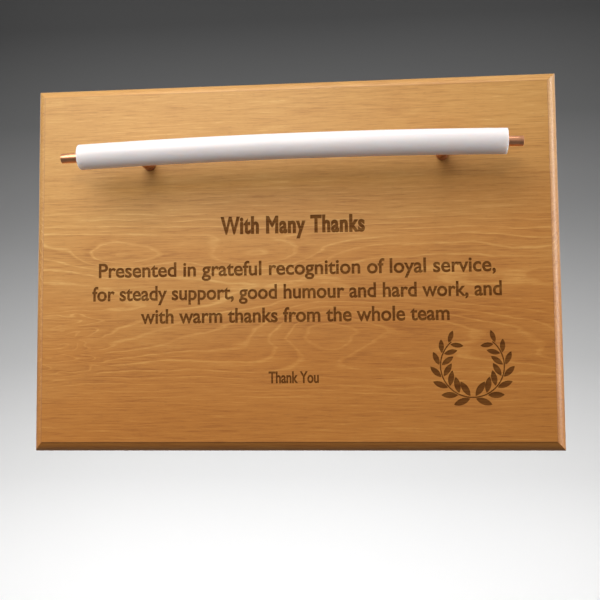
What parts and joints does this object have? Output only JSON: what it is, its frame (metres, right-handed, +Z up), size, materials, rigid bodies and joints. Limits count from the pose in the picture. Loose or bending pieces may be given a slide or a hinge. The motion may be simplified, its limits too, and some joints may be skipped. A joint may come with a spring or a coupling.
{
  "type": "award plaque",
  "caption": "Rectangular hardwood wall plaque with a moulded edge and a short white cable sample held off its face on copper spacers, with keyhole plates at the back.",
  "frame": {"origin": "on the plane of the board's back, midway between the round entries of the two keyholes", "axes": "+X along the width, to the right as seen from the front; +Z up; +Y out of the back, towards the wall, so that the front faces -Y"},
  "size_m": [0.355, 0.0616, 0.25],
  "materials": {
    "oiled_hardwood": "satin clear lacquer over honey coloured hardwood, straight grain along the width, laser marked",
    "white_polyethylene": "smooth natural polyethylene, slightly translucent",
    "conductor_copper": "drawn copper, light tarnish",
    "spacer_copper": "copper tube, satin, light tarnish",
    "strand_steel": "drawn steel wire and tube",
    "fibre_jelly": "clear filling jelly round fine fibres",
    "zinc_steel": "bright zinc plate",
    "pad_rubber": "black moulded rubber, matt"
  },
  "bodies": {
    "root": {"board": "oiled_hardwood", "cable_insulation": "white_polyethylene", "conductor_tube": "conductor_copper", "strand_outer": "strand_steel", "strand_inner": "strand_steel", "fibre_tube": "strand_steel", "fibre_bundle": "fibre_jelly", "left_spacer": "spacer_copper", "right_spacer": "spacer_copper", "cable_screws": "zinc_steel", "screw_washers": "zinc_steel", "left_hanger": "zinc_steel", "right_hanger": "zinc_steel", "hanger_screws": "zinc_steel", "upper_left_pad": "pad_rubber", "upper_right_pad": "pad_rubber", "lower_left_pad": "pad_rubber", "lower_right_pad": "pad_rubber"}
  },
  "joints": []
}
